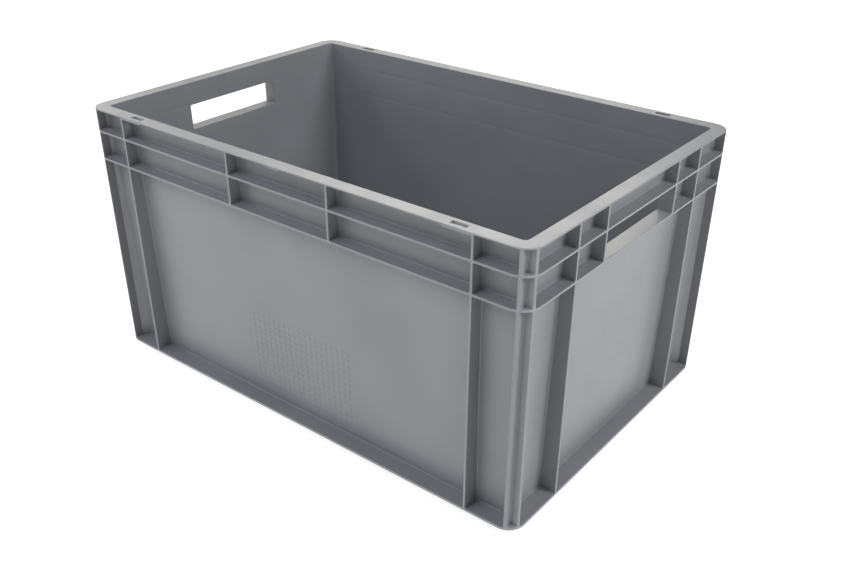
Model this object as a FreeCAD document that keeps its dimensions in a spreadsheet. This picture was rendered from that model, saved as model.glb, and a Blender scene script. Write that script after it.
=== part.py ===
"""Stacking container, 600 x 400 x 320 mm: one polypropylene injection moulding, divided into named sections.

The moulding is worked out as a whole, the way its mould is cut: a block with rounded corners and a
stacking foot, from which the cavity, the drafted cells between the ribs, the hand holes and the underside
cells are taken away. The sections are then cut from it, so they meet face to face with no gap or overlap.

Axes: X along the long sides, the front long side faces -Y, Z up from the surface that the foot stands on.
"""

import FreeCAD, Part
import os

doc = FreeCAD.newDocument("stacking_container")

# ---- driving dimensions, in millimetres ----

DIMENSIONS = {
    "outer_length": 600.0,
    "outer_width": 400.0,
    "outer_height": 320.0,
    "corner_radius": 20.0,
    "foot_height": 14.5,
    "foot_inset": 20.0,
    "foot_corner_radius": 8.0,
    "foot_thickness": 3.0,
    "flange_thickness": 3.0,
    "wall_inset_base": 20.0,
    "wall_inset_rim": 14.0,
    "wall_thickness": 2.4,
    "rim_thickness": 1.4,
    "cavity_corner_radius": 5.0,
    "cavity_floor_radius": 2.0,
    "floor_top": 12.0,
    "floor_thickness": 3.0,
    "upper_belt_height": 293.7,
    "lower_belt_height": 260.8,
    "belt_thickness": 2.4,
    "rib_thickness": 2.6,
    "corner_rib_setback": 12.0,
    "side_panel_rib": 240.0,
    "side_band_rib": 69.7,
    "end_panel_rib": 122.0,
    "end_handle_rib": 71.3,
    "root_radius": 1.2,
    "web_thickness": 2.0,
    "web_reach": 14.0,
    "edge_radius": 0.45,
    "rim_radius": 0.7,
    "lip_start": 206.0,
    "lip_depth": 3.0,
    "slot_place": 220.5,
    "slot_setback": 8.0,
    "slot_length": 18.0,
    "slot_width": 5.8,
    "tab_width": 16.0,
    "tab_drop": 1.2,
    "tab_depth": 3.0,
    "grid_rib": 2.0,
    "grid_recess": 1.5,
    "grid_columns": 10.0,
    "grid_rows": 6.0,
    "post_size": 25.0,
    "clearance": 5.0,
}

sheet = doc.addObject("Spreadsheet::Sheet", "dims")
for row, (alias, value) in enumerate(DIMENSIONS.items(), start=1):
    sheet.set(f"A{row}", alias)
    sheet.set(f"B{row}", str(value))
    sheet.setAlias(f"B{row}", alias)
doc.recompute()

# ---- places worked out from the dimensions, as expressions ----

HALF_LENGTH = "dims.outer_length / 2"
HALF_WIDTH = "dims.outer_width / 2"
HALF_RIB = "dims.rib_thickness / 2"
HALF_BELT = "dims.belt_thickness / 2"
FLANGE_TOP = "dims.foot_height + dims.flange_thickness"
RIM_UNDERSIDE = "dims.outer_height - dims.rim_thickness"
RIM_SECTION = "dims.outer_height - dims.lip_depth - dims.root_radius"
FLOOR_UNDERSIDE = "dims.floor_top - dims.floor_thickness"
WALL_SLOPE = "(dims.wall_inset_base - dims.wall_inset_rim) / (dims.outer_height - dims.foot_height)"


def wall_face(half_size, level):
    """How far the wall's outer face stands from the middle at a level. The walls lean out to the rim."""
    return f"{half_size} - dims.wall_inset_base + {WALL_SLOPE} * (({level}) - dims.foot_height)"


def cavity_face(half_size, level):
    return f"{wall_face(half_size, level)} - dims.wall_thickness"


SIDES = {
    "front": {"turn": 0, "half": HALF_WIDTH, "run": HALF_LENGTH},
    "right": {"turn": 90, "half": HALF_LENGTH, "run": HALF_WIDTH},
    "back": {"turn": 180, "half": HALF_WIDTH, "run": HALF_LENGTH},
    "left": {"turn": 270, "half": HALF_LENGTH, "run": HALF_WIDTH},
}
LONG_SIDES = ("front", "back")
ENDS = ("right", "left")
CORNERS = {
    "front_right": (1, -1),
    "back_right": (1, 1),
    "back_left": (-1, 1),
    "front_left": (-1, -1),
}

# ---- building blocks ----

TOLERANCE = 0.02


def bind(feature, **expressions):
    for prop, expression in expressions.items():
        feature.setExpression(prop, expression)


def origin_plane(body, role):
    return next(f for f in body.Origin.OriginFeatures if f.Role == role)


def new_body(name, turn=0):
    body = doc.addObject("PartDesign::Body", name)
    body.Placement = FreeCAD.Placement(FreeCAD.Vector(), FreeCAD.Rotation(FreeCAD.Vector(0, 0, 1), turn))
    return body


def round_edges(body, base, radius, wanted):
    """Rounds the edges of a body's feature for which wanted(middle of the edge) holds."""
    doc.recompute()
    names = [f"Edge{i}" for i, edge in enumerate(base.Shape.Edges, start=1) if wanted(edge.CenterOfMass)]
    fillet = body.newObject("PartDesign::Fillet", f"{body.Name}_rounding")
    fillet.Base = (base, names)
    bind(fillet, Radius=radius)
    return fillet


def wedge(name, start, end, bottom, top, inner, outer, turn=0, inner_top=None, outer_top=None):
    """A block that runs from start to end along a side and from inner to outer away from the middle.

    With inner_top or outer_top given, that face leans to it from its place at the bottom.
    """
    body = new_body(name, turn)
    block = body.newObject("PartDesign::AdditiveWedge", f"{name}_block")
    block.AttachmentSupport = [(origin_plane(body, "XZ_Plane"), "")]
    block.MapMode = "FlatFace"
    bind(block, Xmin=start, Xmax=end, X2min=start, X2max=end, Ymin=bottom, Ymax=top)
    bind(block, Zmin=inner, Zmax=outer, Z2min=inner_top or inner, Z2max=outer_top or outer)
    return body, block


def box(name, x, y, z):
    """A box between pairs of expressions for its faces."""
    body = new_body(name)
    block = body.newObject("PartDesign::AdditiveBox", f"{name}_block")
    bind(block, Length=f"({x[1]}) - ({x[0]})", Width=f"({y[1]}) - ({y[0]})", Height=f"({z[1]}) - ({z[0]})")
    bind(block, **{".Placement.Base.x": x[0], ".Placement.Base.y": y[0], ".Placement.Base.z": z[0]})
    return body, block


def around_middle(half_size):
    return f"-({half_size})", half_size


def combine(kind, name, *shapes):
    """Joins objects with a Part boolean: Part::Cut and Part::Common take two, Part::MultiFuse any number."""
    result = doc.addObject(kind, name)
    if kind == "Part::MultiFuse":
        result.Shapes = list(shapes)
    else:
        result.Base, result.Tool = shapes
    return result


# ---- the solid that the moulding is cut from ----


def rounded_block(name, half_length, half_width, bottom, top, radius):
    body, block = box(name, around_middle(half_length), around_middle(half_width), (bottom, top))
    doc.recompute()
    middle = block.Shape.BoundBox.Center
    round_edges(body, block, radius, lambda p: abs(p.z - middle.z) < TOLERANCE)
    return body


outer_block = rounded_block(
    "outer_block", HALF_LENGTH, HALF_WIDTH, "dims.foot_height", "dims.outer_height", "dims.corner_radius"
)
foot_block = rounded_block(
    "foot_block",
    f"{HALF_LENGTH} - dims.foot_inset",
    f"{HALF_WIDTH} - dims.foot_inset",
    "0",
    "dims.foot_height",
    "dims.foot_corner_radius",
)
blank = combine("Part::MultiFuse", "blank", outer_block, foot_block)

# ---- the cavity ----

CAVITY_TOP = "dims.outer_height + dims.clearance"


def make_cavity():
    body, block = wedge(
        "cavity",
        *around_middle(cavity_face(HALF_LENGTH, "dims.floor_top")),
        "dims.floor_top",
        CAVITY_TOP,
        *around_middle(cavity_face(HALF_WIDTH, "dims.floor_top")),
    )
    for low, high, half_size in (("X2min", "X2max", HALF_LENGTH), ("Z2min", "Z2max", HALF_WIDTH)):
        face = cavity_face(half_size, CAVITY_TOP)
        bind(block, **{low: f"-({face})", high: face})
    doc.recompute()
    size = block.Shape.BoundBox
    middle, floor = size.Center.z, size.ZMin
    corners = round_edges(body, block, "dims.cavity_corner_radius", lambda p: abs(p.z - middle) < TOLERANCE)
    floor_rounding = body.newObject("PartDesign::Fillet", "cavity_floor_rounding")
    doc.recompute()
    edges = enumerate(corners.Shape.Edges, start=1)
    at_floor = [f"Edge{i}" for i, edge in edges if edge.BoundBox.ZMax < floor + TOLERANCE]
    floor_rounding.Base = (corners, at_floor)
    bind(floor_rounding, Radius="dims.cavity_floor_radius")
    return body


cavity = make_cavity()

# ---- the cells between the ribs, one tool each ----

UPPER_BELT = "dims.upper_belt_height"
LOWER_BELT = "dims.lower_belt_height"
ROWS = {
    "upper": (f"{UPPER_BELT} + {HALF_BELT}", RIM_UNDERSIDE),
    "lower": (f"{LOWER_BELT} + {HALF_BELT}", f"{UPPER_BELT} - {HALF_BELT}"),
    "panel": (FLANGE_TOP, f"{LOWER_BELT} - {HALF_BELT}"),
}


def rib_places(side, row):
    """The middles of the upright ribs that bound a row's cells, from one corner rib to the other."""
    if side in LONG_SIDES:
        inner = ["dims.side_panel_rib"] if row == "panel" else ["dims.side_band_rib", "dims.side_panel_rib"]
    else:
        inner = ["dims.end_panel_rib"] if row == "panel" else ["dims.end_handle_rib", "dims.end_panel_rib"]
    outward = [*inner, f"({SIDES[side]['run']} - dims.corner_rib_setback)"]
    return [f"-{place}" for place in reversed(outward)] + outward


def cell(side, row, number, start, end):
    """The tool for one cell: its back follows the wall, and its root edges are rounded."""
    place = SIDES[side]
    bottom, top = ROWS[row]
    outside = f"{place['half']} + dims.clearance"
    body, block = wedge(
        f"{side}_{row}_cell_{number}",
        f"{start} + {HALF_RIB}",
        f"{end} - {HALF_RIB}",
        bottom,
        top,
        wall_face(place["half"], bottom),
        outside,
        place["turn"],
        wall_face(place["half"], top),
    )
    doc.recompute()
    mouth = block.Shape.BoundBox.YMin
    round_edges(body, block, "dims.root_radius", lambda p: p.y > mouth + TOLERANCE)
    return body


def hand_hole(side, start, end):
    """The tool for the hole through an end wall, from the band's middle cell into the cavity."""
    place = SIDES[side]
    bottom, top = ROWS["lower"]
    inside = f"{place['half']} - dims.wall_inset_base - dims.wall_thickness - dims.clearance"
    outside = f"{place['half']} + dims.clearance"
    body, block = wedge(
        f"{side}_hand_hole",
        f"{start} + {HALF_RIB}",
        f"{end} - {HALF_RIB}",
        bottom,
        top,
        inside,
        outside,
        place["turn"],
    )
    doc.recompute()
    middle = block.Shape.BoundBox.Center.y
    round_edges(body, block, "dims.root_radius", lambda p: abs(p.y - middle) < TOLERANCE)
    return body


HAND_HOLE_CELL = 3


def side_cells(side):
    """The tools for one side's cells. The middle one of an end's lower band row is the hand hole."""
    for row in ROWS:
        places = rib_places(side, row)
        for number, (start, end) in enumerate(zip(places, places[1:]), start=1):
            is_hand_hole = side in ENDS and row == "lower" and number == HAND_HOLE_CELL
            yield hand_hole(side, start, end) if is_hand_hole else cell(side, row, number, start, end)


def from_corner(sign, near, far):
    """A pair of faces at near and far from the middle, on the side that sign says."""
    return (near, far) if sign > 0 else (f"-({far})", f"-({near})")


def corner_channel(corner, row):
    """The tool for one length of the open channel between a corner's two ribs."""
    sign_x, sign_y = CORNERS[corner]
    inset = f"dims.corner_rib_setback - {HALF_RIB}"
    body, block = box(
        f"{corner}_{row}_channel",
        from_corner(sign_x, f"{HALF_LENGTH} - ({inset})", f"{HALF_LENGTH} + dims.clearance"),
        from_corner(sign_y, f"{HALF_WIDTH} - ({inset})", f"{HALF_WIDTH} + dims.clearance"),
        ROWS[row],
    )
    doc.recompute()
    size = block.Shape.BoundBox
    inner_x = size.XMin if sign_x > 0 else size.XMax
    inner_y = size.YMin if sign_y > 0 else size.YMax

    def is_root(point):
        return abs(point.x - inner_x) < TOLERANCE or abs(point.y - inner_y) < TOLERANCE

    round_edges(body, block, "dims.root_radius", is_root)
    return body


cells = [tool for side in SIDES for tool in side_cells(side)]
channels = [corner_channel(corner, row) for corner in CORNERS for row in ROWS]

# ---- the underside: a grid of ribs between the floor and the foot ----


def underside_faces(half_size):
    return f"{half_size} - dims.foot_inset - dims.foot_thickness"


def underside_cell(column, row):
    """The tool for one cell of the grid, which is open below."""
    faces = []
    directions = ((HALF_LENGTH, "dims.grid_columns", column), (HALF_WIDTH, "dims.grid_rows", row))
    for half_size, count, number in directions:
        half_run = f"({underside_faces(half_size)} + dims.grid_rib / 2)"
        pitch = f"2 * {half_run} / {count}"
        start = f"-{half_run} + {number} * {pitch} + dims.grid_rib / 2"
        faces.append((start, f"{start} + {pitch} - dims.grid_rib"))
    body, block = box(f"underside_cell_{column}_{row}", *faces, ("-dims.clearance", FLOOR_UNDERSIDE))
    doc.recompute()
    bottom = block.Shape.BoundBox.ZMin
    round_edges(body, block, "dims.root_radius", lambda p: p.z > bottom + TOLERANCE)
    return body


underside = [
    underside_cell(column, row)
    for column in range(int(DIMENSIONS["grid_columns"]))
    for row in range(int(DIMENSIONS["grid_rows"]))
]
grid_clearance, _ = box(
    "grid_clearance",
    around_middle(underside_faces(HALF_LENGTH)),
    around_middle(underside_faces(HALF_WIDTH)),
    ("-dims.clearance", "dims.grid_recess"),
)

ribbed = combine("Part::Cut", "ribbed", blank, combine("Part::MultiFuse", "cell_tools", *cells, *channels))

# ---- the diagonal webs that join each corner's ribs to the corner of the walls ----


def corner_web(corner, turn):
    """A web along the diagonal of a corner, from inside the cavity out to where the two corner ribs meet."""
    body = new_body(f"{corner}_web")
    block = body.newObject("PartDesign::AdditiveBox", f"{corner}_web_block")
    height = f"{RIM_UNDERSIDE} - dims.foot_height"
    bind(block, Length="dims.web_reach", Width="dims.web_thickness", Height=height)
    bind(block, **{".Placement.Base.x": "-dims.web_reach", ".Placement.Base.y": "-dims.web_thickness / 2"})
    body.Placement.Rotation = FreeCAD.Rotation(FreeCAD.Vector(0, 0, 1), turn)
    sign_x, sign_y = CORNERS[corner]
    bind(
        body,
        **{
            ".Placement.Base.x": f"{sign_x} * ({HALF_LENGTH} - dims.corner_rib_setback)",
            ".Placement.Base.y": f"{sign_y} * ({HALF_WIDTH} - dims.corner_rib_setback)",
            ".Placement.Base.z": "dims.foot_height",
        },
    )
    return body


webs = [corner_web(corner, turn) for corner, turn in zip(CORNERS, (-45, 45, 135, 225))]

# ---- the rim's lips, slots and tab ----

lips = []
slots = []
for side in LONG_SIDES:
    turn = SIDES[side]["turn"]
    for hand, (start, end) in {
        "left": ("-dims.side_panel_rib", "-dims.lip_start"),
        "right": ("dims.lip_start", "dims.side_panel_rib"),
    }.items():
        lip, _ = wedge(
            f"{side}_{hand}_lip",
            start,
            end,
            "dims.outer_height - dims.lip_depth",
            "dims.outer_height - dims.rim_thickness / 2",
            f"{HALF_WIDTH} - dims.wall_inset_rim - dims.wall_thickness / 2",
            HALF_WIDTH,
            turn,
        )
        lips.append(lip)
        middle = "dims.slot_place" if hand == "right" else "-dims.slot_place"
        slot, _ = wedge(
            f"{side}_{hand}_slot",
            f"{middle} - dims.slot_length / 2",
            f"{middle} + dims.slot_length / 2",
            "dims.outer_height - dims.lip_depth - dims.clearance",
            "dims.outer_height + dims.clearance",
            f"{HALF_WIDTH} - dims.slot_setback - dims.slot_width / 2",
            f"{HALF_WIDTH} - dims.slot_setback + dims.slot_width / 2",
            turn,
        )
        slots.append(slot)

tab, _ = wedge(
    "front_tab",
    *around_middle("dims.tab_width / 2"),
    f"{RIM_UNDERSIDE} - dims.tab_drop",
    "dims.outer_height - dims.rim_thickness / 2",
    f"{HALF_WIDTH} - dims.tab_depth",
    HALF_WIDTH,
)
outer_form = combine("Part::MultiFuse", "outer_form", ribbed, tab, *lips, *webs)
inner_tools = combine("Part::MultiFuse", "inner_tools", cavity, *slots, *underside, grid_clearance)
sharp_moulding = combine("Part::Cut", "sharp_moulding", outer_form, inner_tools)
doc.recompute()

# ---- rounding of the edges that a hand meets ----


def distance_to_outline(point):
    """How far a point lies outside the container's outline in plan, which has round corners."""
    radius = DIMENSIONS["corner_radius"]
    past_x = abs(point.x) - (DIMENSIONS["outer_length"] / 2 - radius)
    past_y = abs(point.y) - (DIMENSIONS["outer_width"] / 2 - radius)
    outside = FreeCAD.Vector(max(past_x, 0), max(past_y, 0), 0).Length
    return outside + min(max(past_x, past_y), 0) - radius


FULL_HEIGHT_SHARE = 0.9


def edge_rounding(edge):
    """The radius for an edge of the moulding, or None for an edge that stays as it is.

    An upright edge on the outline that is nearly as tall as the container is only a seam of a corner's face.
    """
    middle = edge.valueAt((edge.FirstParameter + edge.LastParameter) / 2)
    points = [middle, *(vertex.Point for vertex in edge.Vertexes)]
    rise = abs(points[1].z - points[-1].z)
    on_outline = all(abs(distance_to_outline(point)) < TOLERANCE for point in points)
    at_rim = abs(middle.z - DIMENSIONS["outer_height"]) < TOLERANCE
    is_outline_seam = on_outline and rise > DIMENSIONS["outer_height"] * FULL_HEIGHT_SHARE
    in_slot = at_rim and not on_outline and distance_to_outline(middle) > -DIMENSIONS["wall_inset_rim"]
    if is_outline_seam or in_slot:
        return None
    if at_rim:
        return DIMENSIONS["rim_radius"]
    return DIMENSIONS["edge_radius"] if on_outline else None


moulding = doc.addObject("Part::Fillet", "moulding")
moulding.Base = sharp_moulding
moulding.Edges = [
    (number, radius, radius)
    for number, radius in enumerate(map(edge_rounding, sharp_moulding.Shape.Edges), start=1)
    if radius
]
doc.recompute()

# ---- the sections that the moulding is divided into ----

SIDE_END = f"{HALF_LENGTH} - dims.post_size"
END_END = f"{HALF_WIDTH} - dims.post_size"
FOOT_INSIDE = "dims.foot_inset + dims.foot_thickness"
LEVELS = {
    "flange": ("dims.foot_height", f"{FLANGE_TOP} + dims.root_radius"),
    "lower_belt": (
        f"{LOWER_BELT} - {HALF_BELT} - dims.root_radius",
        f"{LOWER_BELT} + {HALF_BELT} + dims.root_radius",
    ),
    "upper_belt": (
        f"{UPPER_BELT} - {HALF_BELT} - dims.root_radius",
        f"{UPPER_BELT} + {HALF_BELT} + dims.root_radius",
    ),
    "rim": (RIM_SECTION, "dims.outer_height + dims.clearance"),
}
ABOVE_LOWER_BELT = (LEVELS["lower_belt"][1], LEVELS["upper_belt"][0])
ABOVE_UPPER_BELT = (LEVELS["upper_belt"][1], LEVELS["rim"][0])
BELOW_LOWER_BELT = (LEVELS["flange"][1], LEVELS["lower_belt"][0])

sections = []


def section(label, source, *regions):
    """Cuts one section out of a larger solid: what lies inside its regions."""
    region = regions[0] if len(regions) == 1 else combine("Part::MultiFuse", f"{label}_regions", *regions)
    piece = combine("Part::Common", label, source, region)
    piece.Label = label
    sections.append(piece)


def side_box(side, name, run, levels, inset):
    """A box along a side that reaches from inset within the outer face to beyond it."""
    place = SIDES[side]
    faces = (f"{place['half']} - ({inset})", f"{place['half']} + dims.clearance")
    body, _ = wedge(name, *run, *levels, *faces, place["turn"])
    return body


def side_region(side, name, run, levels, outside_wall=True):
    """The space along a side between two levels, outside the wall's leaning outer face or inside it."""
    place = SIDES[side]
    half_size = place["half"]
    low, high = levels
    faces = (wall_face(half_size, low), wall_face(half_size, high))
    if outside_wall:
        outer = f"{half_size} + dims.clearance"
        body, _ = wedge(name, *run, low, high, faces[0], outer, place["turn"], inner_top=faces[1])
    else:
        inner = f"{half_size} - dims.post_size - dims.clearance"
        body, _ = wedge(name, *run, low, high, inner, faces[0], place["turn"], outer_top=faces[1])
    return body


def rib_region(side, name, place, levels):
    half_run = f"{HALF_RIB} + dims.root_radius"
    return side_region(side, name, (f"{place} - ({half_run})", f"{place} + ({half_run})"), levels)


def rib_section(side, source, name, place, all_levels):
    regions = [
        rib_region(side, f"{side}_{name}_region_{number}", place, levels)
        for number, levels in enumerate(all_levels, start=1)
    ]
    section(f"{side}_{name}", source, *regions)


def wall_sections(side):
    """Divides one side, between the corner posts, into its wall, flange, belts, rim and upright ribs."""
    run_end, prefix, inner_rib = (
        (SIDE_END, "side", "band_rib") if side in LONG_SIDES else (END_END, "end", "handle_rib")
    )
    run = around_middle(run_end)
    inset = "dims.post_size + dims.clearance"
    whole = ("dims.foot_height", "dims.outer_height + dims.clearance")
    slab_region = side_box(side, f"{side}_slab_region", run, whole, inset)
    slab = combine("Part::Common", f"{side}_slab", moulding, slab_region)
    wall_levels = ("dims.foot_height", RIM_SECTION)
    wall_region = side_region(side, f"{side}_wall_region", run, wall_levels, outside_wall=False)
    section(f"{side}_wall", slab, wall_region)
    for level in ("flange", "lower_belt", "upper_belt"):
        section(f"{side}_{level}", slab, side_region(side, f"{side}_{level}_region", run, LEVELS[level]))
    section(f"{side}_rim", slab, side_box(side, f"{side}_rim_region", run, LEVELS["rim"], inset))
    for number, sign in enumerate(("-", ""), start=1):
        panel_levels = [BELOW_LOWER_BELT, ABOVE_LOWER_BELT, ABOVE_UPPER_BELT]
        rib_section(side, slab, f"panel_rib_{number}", f"{sign}dims.{prefix}_panel_rib", panel_levels)
        rib_section(side, slab, f"{inner_rib}_{number}", f"{sign}dims.{prefix}_{inner_rib}", panel_levels[1:])


def post_section(corner):
    sign_x, sign_y = CORNERS[corner]
    region, _ = box(
        f"{corner}_post_region",
        from_corner(sign_x, SIDE_END, f"{HALF_LENGTH} + dims.clearance"),
        from_corner(sign_y, END_END, f"{HALF_WIDTH} + dims.clearance"),
        ("dims.foot_height", "dims.outer_height + dims.clearance"),
    )
    section(f"{corner}_post", moulding, region)


def base_sections():
    """Divides the base into the foot's four sides, the floor and the grid of ribs below it.

    The foot's sides take the rounding at the edge of the cavity's floor with them, so that the floor is flat.
    """
    whole = (around_middle(HALF_LENGTH), around_middle(HALF_WIDTH))
    base_region, _ = box("base_region", *whole, ("-dims.clearance", "dims.foot_height"))
    base = combine("Part::Common", "base_slab", moulding, base_region)
    depths = {
        "ring": (FOOT_INSIDE, ("-dims.clearance", "dims.foot_height")),
        "root": (f"{FOOT_INSIDE} + dims.clearance", ("dims.floor_top", "dims.foot_height")),
    }
    for side in SIDES:
        regions = []
        for name, (inset, levels) in depths.items():
            run = around_middle(HALF_LENGTH if side in LONG_SIDES else f"{HALF_WIDTH} - ({inset})")
            regions.append(side_box(side, f"{side}_foot_{name}_region", run, levels, inset))
        section(f"{side}_foot", base, *regions)
    faces = (
        around_middle(f"{HALF_LENGTH} - ({FOOT_INSIDE})"),
        around_middle(f"{HALF_WIDTH} - ({FOOT_INSIDE})"),
    )
    floor_region, _ = box("floor_region", *faces, (FLOOR_UNDERSIDE, "dims.floor_top"))
    section("floor_panel", base, floor_region)
    grid_region, _ = box("grid_region", *faces, ("-dims.clearance", FLOOR_UNDERSIDE))
    section("underside_grid", base, grid_region)


for side in SIDES:
    wall_sections(side)
for corner in CORNERS:
    post_section(corner)
base_sections()

# ---- checks and export ----

doc.recompute()
faulty = [item.Name for item in doc.Objects if {"Invalid", "Error"} & set(item.State)]
if faulty:
    raise RuntimeError(f"these objects did not build: {faulty}")

for piece in sections:
    if piece.Shape.isNull() or not piece.Shape.isValid() or not piece.Shape.Solids:
        raise RuntimeError(f"{piece.Label} is not a valid solid")

total = sum(piece.Shape.Volume for piece in sections)
if abs(total - moulding.Shape.Volume) > 1e-4 * moulding.Shape.Volume:
    raise RuntimeError(f"the sections hold {total:.0f} mm3 of the moulding's {moulding.Shape.Volume:.0f} mm3")

os.makedirs("parts", exist_ok=True)
for piece in sections:
    piece.Shape.exportStep(f"parts/{piece.Label}.step")
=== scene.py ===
"""Looks for the stacking container: moulded grey polypropylene on a pale studio floor.

Everything is in metres, in the CAD model's frame: X along the long sides, Z up. The front is the long
side that faces -Y, with the patch of raised dots.
"""

import math

import bmesh
import bpy
from mathutils import Euler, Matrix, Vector


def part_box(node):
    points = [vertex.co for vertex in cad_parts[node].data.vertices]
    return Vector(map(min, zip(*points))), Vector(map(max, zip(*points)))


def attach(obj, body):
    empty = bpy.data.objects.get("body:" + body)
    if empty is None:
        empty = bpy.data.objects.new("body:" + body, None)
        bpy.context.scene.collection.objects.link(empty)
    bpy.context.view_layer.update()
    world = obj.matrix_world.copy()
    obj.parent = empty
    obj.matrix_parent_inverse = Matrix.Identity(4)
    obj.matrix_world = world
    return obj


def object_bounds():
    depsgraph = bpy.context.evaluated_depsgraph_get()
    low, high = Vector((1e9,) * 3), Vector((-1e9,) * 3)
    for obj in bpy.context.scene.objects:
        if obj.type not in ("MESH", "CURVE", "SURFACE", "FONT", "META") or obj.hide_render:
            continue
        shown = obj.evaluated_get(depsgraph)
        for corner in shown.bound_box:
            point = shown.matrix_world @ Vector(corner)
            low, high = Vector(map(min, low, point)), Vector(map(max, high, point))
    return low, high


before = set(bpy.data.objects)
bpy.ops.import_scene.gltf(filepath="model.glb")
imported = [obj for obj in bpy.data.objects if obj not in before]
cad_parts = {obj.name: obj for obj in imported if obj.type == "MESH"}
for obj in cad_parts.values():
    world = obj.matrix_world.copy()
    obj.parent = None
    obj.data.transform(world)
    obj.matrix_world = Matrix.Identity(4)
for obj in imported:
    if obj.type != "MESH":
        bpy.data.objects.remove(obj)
cad_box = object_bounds()
scene = bpy.context.scene

MM = 0.001

# ---- the container's sizes, as the CAD model has them ----

lowest, highest = cad_box
OUTER_LENGTH = highest[0] - lowest[0]
OUTER_WIDTH = highest[1] - lowest[1]
OUTER_HEIGHT = highest[2] - lowest[2]
CORNER_RADIUS = 20 * MM
WALL_THICKNESS = 2.4 * MM

wall_lowest, wall_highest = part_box("front_wall")
foot_lowest, foot_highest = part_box("front_foot")
WALL_FOOT = foot_highest[2]
INSET_FOOT = foot_lowest[1] - lowest[1]
INSET_TOP = wall_lowest[1] - lowest[1]
WALL_SLOPE = (INSET_FOOT - INSET_TOP) / (wall_highest[2] - WALL_FOOT)

# The ribs whose sink marks show inside, by the axis they are met along. The other sides mirror them.
MARKED_RIBS = {
    "X": ("front_band_rib_2", "front_panel_rib_2"),
    "Y": ("right_handle_rib_2", "right_panel_rib_2"),
    "Z": ("front_lower_belt", "front_upper_belt"),
}


def wall_inset(level):
    """How far the walls' outer face lies inside the container's outline at a level."""
    return INSET_FOOT - WALL_SLOPE * (level - WALL_FOOT)


def middle_of(node, axis):
    """Where the middle of a CAD node lies along an axis."""
    number = "XYZ".index(axis)
    return sum(corner[number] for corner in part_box(node)) / 2


# ---- shader nodes ----


class Nodes:
    """Short calls that add shader nodes to a material or world and link them as they are made."""

    def __init__(self, owner):
        self.tree = owner.node_tree

    def add(self, kind, inputs=None, **settings):
        node = self.tree.nodes.new(kind)
        for name, value in settings.items():
            setattr(node, name, value)
        for name, value in (inputs or {}).items():
            self.set(node.inputs[name], value)
        return node

    def set(self, socket, value):
        """Links a socket to another one, or gives it a plain value."""
        if isinstance(value, bpy.types.NodeSocket):
            self.tree.links.new(value, socket)
        else:
            socket.default_value = value

    def math(self, operation, *values):
        return self.add("ShaderNodeMath", dict(enumerate(values)), operation=operation).outputs[0]

    def ramp(self, value, start, end, low=0.0, high=1.0):
        """A smooth step from low to high as value goes from start to end."""
        inputs = {"Value": value, "From Min": start, "From Max": end, "To Min": low, "To Max": high}
        return self.add("ShaderNodeMapRange", inputs, interpolation_type="SMOOTHSTEP").outputs["Result"]

    def noise(self, place, scale, detail=2.0, roughness=0.5):
        """Noise from 0 to 1. Its scale is in features per metre."""
        inputs = {"Vector": place, "Scale": scale, "Detail": detail, "Roughness": roughness}
        return self.add("ShaderNodeTexNoise", inputs).outputs["Fac"]

    def stretched_noise(self, place, scales):
        """Noise with a scale of its own along each axis."""
        stretched = self.add("ShaderNodeVectorMath", {0: place, 1: scales}, operation="MULTIPLY")
        return self.noise(stretched.outputs[0], 1.0)

    def mix(self, factor, first, second):
        """A colour between two others, which are this node's inputs 6 and 7."""
        inputs = {0: factor, 6: first, 7: second}
        return self.add("ShaderNodeMix", inputs, data_type="RGBA").outputs[2]

    def bump(self, height, distance, normal=None):
        """A normal that tilts as if height, from 0 to 1, stood distance proud of the surface."""
        inputs = {"Height": height, "Distance": distance, "Strength": 1.0}
        if normal is not None:
            inputs["Normal"] = normal
        return self.add("ShaderNodeBump", inputs).outputs["Normal"]


# ---- camera, floor and light ----

FLOOR_REACH = 30.0
FLOOR_COLOUR = (0.3, 0.3, 0.3, 1)
FLOOR_ROUGHNESS = 0.9
FLOOR_GLOW = 0.85

# Heights in the surround are sines of the angle above the horizon.
SURROUND_STRENGTH = 0.5
SURROUND_PALE_UP_TO = 0.10
SURROUND_DARK_FROM = 0.35

WHITE = (1, 1, 1, 1)
COOL_LIGHT = (0.86, 0.90, 1.0)
NEUTRAL_LIGHT = (0.95, 0.96, 1.0)
WARM_LIGHT = (1.0, 0.975, 0.88)


def make_camera():
    """A camera that looks down over the corner between the front and the right side."""
    data = bpy.data.cameras.new("camera")
    data.sensor_width = 36
    data.lens = 40.44
    data.shift_x = -0.0072
    data.shift_y = 0.0591
    camera = bpy.data.objects.new("camera", data)
    camera.location = (0.6615, -0.7981, 0.6602)
    camera.rotation_euler = Euler([math.radians(angle) for angle in (59.007, -0.446, 38.101)])
    scene.collection.objects.link(camera)
    scene.camera = camera


def make_floor():
    """A floor that reaches the horizon in every view and glows softly, like a light table."""
    corners = [(x * FLOOR_REACH, y * FLOOR_REACH, 0) for x, y in ((-1, -1), (1, -1), (1, 1), (-1, 1))]
    mesh = bpy.data.meshes.new("floor")
    mesh.from_pydata(corners, [], [(0, 1, 2, 3)])
    floor = bpy.data.objects.new("floor", mesh)
    scene.collection.objects.link(floor)
    material = bpy.data.materials.new("floor_paint")
    material.use_nodes = True
    shader = material.node_tree.nodes["Principled BSDF"]
    shader.inputs["Base Color"].default_value = FLOOR_COLOUR
    shader.inputs["Roughness"].default_value = FLOOR_ROUGHNESS
    shader.inputs["Emission Color"].default_value = WHITE
    shader.inputs["Emission Strength"].default_value = FLOOR_GLOW
    mesh.materials.append(material)


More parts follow.
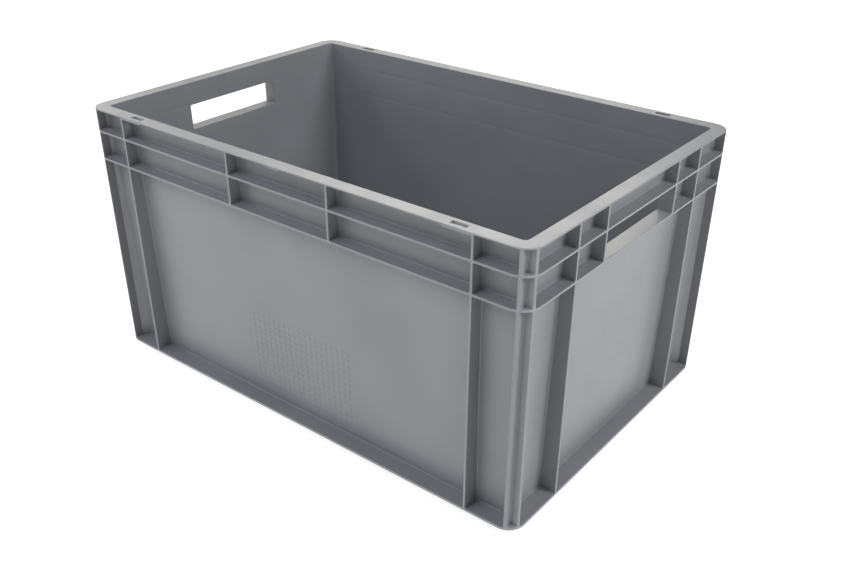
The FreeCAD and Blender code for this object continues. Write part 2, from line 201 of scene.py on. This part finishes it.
def make_softbox(name, place, size, power, colour):
    """A square area light that faces the middle of the container."""
    data = bpy.data.lights.new(name, "AREA")
    data.size = size
    data.energy = power
    data.color = colour
    light = bpy.data.objects.new(name, data)
    light.location = place
    aim = Vector((0, 0, OUTER_HEIGHT / 2)) - Vector(place)
    light.rotation_euler = aim.to_track_quat("-Z", "Y").to_euler()
    scene.collection.objects.link(light)


def make_lights():
    """Five softboxes round the container, with their powers in watts."""
    make_softbox("front_softbox", (-0.25, -1.9, 2.8), size=1.6, power=45, colour=COOL_LIGHT)
    make_softbox("front_left_softbox", (-2.2, -1.6, 1.6), size=1.6, power=24, colour=NEUTRAL_LIGHT)
    make_softbox("right_softbox", (2.3, 0.4, 1.9), size=1.4, power=64, colour=NEUTRAL_LIGHT)
    make_softbox("back_left_softbox", (-1.3, 1.9, 2.0), size=1.6, power=37, colour=WARM_LIGHT)
    make_softbox("left_softbox", (-2.4, 0.6, 1.8), size=1.6, power=24, colour=WARM_LIGHT)


def make_surround():
    """A pale studio wall all round, which fades out from about 6 to 20 degrees above the horizon."""
    world = bpy.data.worlds.new("studio")
    world.use_nodes = True
    scene.world = world
    nodes = Nodes(world)
    background = world.node_tree.nodes["Background"]
    direction = nodes.add("ShaderNodeTexCoord").outputs["Generated"]
    rise = nodes.add("ShaderNodeSeparateXYZ", {"Vector": direction}).outputs["Z"]
    strength = nodes.ramp(rise, SURROUND_DARK_FROM, SURROUND_PALE_UP_TO, 0.0, SURROUND_STRENGTH)
    nodes.set(background.inputs["Color"], WHITE)
    nodes.set(background.inputs["Strength"], strength)


# ---- material ----

DARKER_GREY = (0.222, 0.228, 0.238, 1)
LIGHTER_GREY = (0.240, 0.246, 0.256, 1)
RUBBED_GREY = (0.34, 0.345, 0.35, 1)
RUBBED_OPACITY = 0.55
LEAST_EDGE_RUBBING = 0.45
EDGE_RUB_DEPTH = 0.6 * MM
RIM_RUB_DEPTH = 0.4 * MM
FULL_RUB_DEPTH = 0.1 * MM
LEAST_ROUGHNESS = 0.33
MOST_ROUGHNESS = 0.42
ROUGHNESS_FROM_RUBBING = 0.18
GRAIN_HEIGHT = 0.03 * MM
FLOW_HEIGHT = 0.6 * MM
SINK_HALF_WIDTH = 4 * MM
SINK_DEPTH = 0.15 * MM


def depth_in_outline(nodes, x, y):
    """How deep a point lies inside the container's outline in plan: 0 on the rim's and ribs' edges."""
    past_x = nodes.math("SUBTRACT", nodes.math("ABSOLUTE", x), OUTER_LENGTH / 2 - CORNER_RADIUS)
    past_y = nodes.math("SUBTRACT", nodes.math("ABSOLUTE", y), OUTER_WIDTH / 2 - CORNER_RADIUS)
    out_x = nodes.math("MAXIMUM", past_x, 0.0)
    out_y = nodes.math("MAXIMUM", past_y, 0.0)
    square_x = nodes.math("MULTIPLY", out_x, out_x)
    square_y = nodes.math("MULTIPLY", out_y, out_y)
    outside = nodes.math("SQRT", nodes.math("ADD", square_x, square_y))
    inside = nodes.math("MINIMUM", nodes.math("MAXIMUM", past_x, past_y), 0.0)
    return nodes.math("SUBTRACT", CORNER_RADIUS, nodes.math("ADD", outside, inside))


def rubbing(nodes, place, level, depth):
    """How rubbed the plastic is: all along the outer edges, and in patches of scratches on the rim."""
    on_edge = nodes.ramp(depth, EDGE_RUB_DEPTH, FULL_RUB_DEPTH)
    on_rim = nodes.ramp(level, OUTER_HEIGHT - RIM_RUB_DEPTH, OUTER_HEIGHT - FULL_RUB_DEPTH)
    patches = nodes.ramp(nodes.noise(place, 45.0, detail=4.0, roughness=0.65), 0.50, 0.72)
    edge_rubbing = nodes.math("MULTIPLY", on_edge, nodes.math("MAXIMUM", patches, LEAST_EDGE_RUBBING))
    scratches = nodes.ramp(nodes.stretched_noise(place, (30.0, 900.0, 300.0)), 0.66, 0.74)
    rim_rubbing = nodes.math("MULTIPLY", on_rim, nodes.math("MULTIPLY", scratches, patches))
    return nodes.math("MAXIMUM", edge_rubbing, rim_rubbing)


def sink_marks(nodes, place, depth):
    """Shallow dips in the walls' inner faces, opposite the ribs: 1 in a dip's middle, 0 between dips."""
    dips = 0.0
    for axis, ribs in MARKED_RIBS.items():
        from_middle = nodes.math("ABSOLUTE", place[axis])
        for rib in ribs:
            away = nodes.math("ABSOLUTE", nodes.math("SUBTRACT", from_middle, middle_of(rib, axis)))
            dips = nodes.math("MAXIMUM", dips, nodes.ramp(away, SINK_HALF_WIDTH, 0.0))
    outer_face = nodes.math("SUBTRACT", wall_inset(0), nodes.math("MULTIPLY", place["Z"], WALL_SLOPE))

    # Only the inner half of the wall takes the marks, and nothing far inside it.
    behind = nodes.math("SUBTRACT", depth, outer_face)
    past_middle = nodes.ramp(behind, 0.5 * WALL_THICKNESS, 0.9 * WALL_THICKNESS)
    near_wall = nodes.ramp(behind, 3.0 * WALL_THICKNESS, 2.5 * WALL_THICKNESS)
    return nodes.math("MULTIPLY", dips, nodes.math("MULTIPLY", past_middle, near_wall))


def crate_plastic():
    """Grey polypropylene: faint mottling, satin sheen, fine mould grain, sink marks and rubbed edges."""
    material = bpy.data.materials.new("crate_plastic")
    material.use_nodes = True
    nodes = Nodes(material)
    shader = material.node_tree.nodes["Principled BSDF"]
    place = nodes.add("ShaderNodeTexCoord").outputs["Object"]
    split = nodes.add("ShaderNodeSeparateXYZ", {"Vector": place}).outputs
    depth = depth_in_outline(nodes, split["X"], split["Y"])

    mottling = nodes.ramp(nodes.noise(place, 9.0, detail=3.0), 0.35, 0.65)
    grey = nodes.mix(mottling, DARKER_GREY, LIGHTER_GREY)
    rubbed = rubbing(nodes, place, split["Z"], depth)
    colour = nodes.mix(nodes.math("MULTIPLY", rubbed, RUBBED_OPACITY), grey, RUBBED_GREY)
    nodes.set(shader.inputs["Base Color"], colour)

    sheen = nodes.noise(place, 22.0, detail=3.0)
    satin = nodes.ramp(sheen, 0.3, 0.7, LEAST_ROUGHNESS, MOST_ROUGHNESS)
    roughness = nodes.math("ADD", satin, nodes.math("MULTIPLY", rubbed, ROUGHNESS_FROM_RUBBING))
    nodes.set(shader.inputs["Roughness"], roughness)

    grain = nodes.noise(place, 1400.0, roughness=0.6)
    flow = nodes.stretched_noise(place, (6.0, 6.0, 14.0))
    normal = nodes.bump(grain, GRAIN_HEIGHT)
    normal = nodes.bump(flow, FLOW_HEIGHT, normal)
    normal = nodes.bump(sink_marks(nodes, split, depth), -SINK_DEPTH, normal)
    nodes.set(shader.inputs["Normal"], normal)
    return material


# ---- the patch of raised dots on the front wall ----

DOT_PITCH = 7.95 * MM
DOT_COLUMNS = 19
DOT_ROWS = 12
DOT_RADIUS = 2.7 * MM
DOT_HEIGHT = 0.5 * MM
DOT_SEGMENTS = 14
PATCH_FOOT = 35.5 * MM

# A dot's profile from its sunk base to just below its peak, in shares of its radius and its height.
DOT_PROFILE = [(1.08, -0.4), (1.0, 0.0), (0.86, 0.36), (0.66, 0.66), (0.38, 0.9)]


def add_dot(mesh, centre, across, upward, outward):
    """Adds one low round dot to a mesh. Its closed base is sunk a little below the wall's face."""
    circles = []
    for radius_share, height_share in DOT_PROFILE:
        lift = centre + outward * (DOT_HEIGHT * height_share)
        radius = DOT_RADIUS * radius_share
        circle = []
        for step in range(DOT_SEGMENTS):
            angle = 2 * math.pi * step / DOT_SEGMENTS
            offset = across * (radius * math.cos(angle)) + upward * (radius * math.sin(angle))
            circle.append(mesh.verts.new(lift + offset))
        circles.append(circle)
    for lower, upper in zip(circles, circles[1:]):
        for step in range(DOT_SEGMENTS):
            after = (step + 1) % DOT_SEGMENTS
            mesh.faces.new((lower[step], lower[after], upper[after], upper[step]))
    peak = mesh.verts.new(centre + outward * DOT_HEIGHT)
    for step in range(DOT_SEGMENTS):
        after = (step + 1) % DOT_SEGMENTS
        mesh.faces.new((circles[-1][step], circles[-1][after], peak))
    mesh.faces.new(reversed(circles[0]))


def make_dot_patch(material):
    """Rows of dots in the middle of the front wall, standing on its leaning outer face."""
    across = Vector((1, 0, 0))
    upward = Vector((0, -WALL_SLOPE, 1)).normalized()
    outward = across.cross(upward)
    mesh = bmesh.new()
    for row in range(DOT_ROWS):
        level = PATCH_FOOT + row * DOT_PITCH
        wall = lowest[1] + wall_inset(level)
        for column in range(DOT_COLUMNS):
            x = (column - (DOT_COLUMNS - 1) / 2) * DOT_PITCH
            add_dot(mesh, Vector((x, wall, level)), across, upward, outward)
    data = bpy.data.meshes.new("grip_dots")
    mesh.to_mesh(data)
    mesh.free()
    for face in data.polygons:
        face.use_smooth = True
    data.materials.append(material)
    dots = bpy.data.objects.new("grip_dots", data)
    scene.collection.objects.link(dots)
    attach(dots, "root")


# ---- the scene ----

make_camera()
make_floor()
make_lights()
make_surround()
scene.view_settings.view_transform = "Standard"

plastic = crate_plastic()
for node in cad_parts.values():
    node.data.materials.clear()
    node.data.materials.append(plastic)
make_dot_patch(plastic)
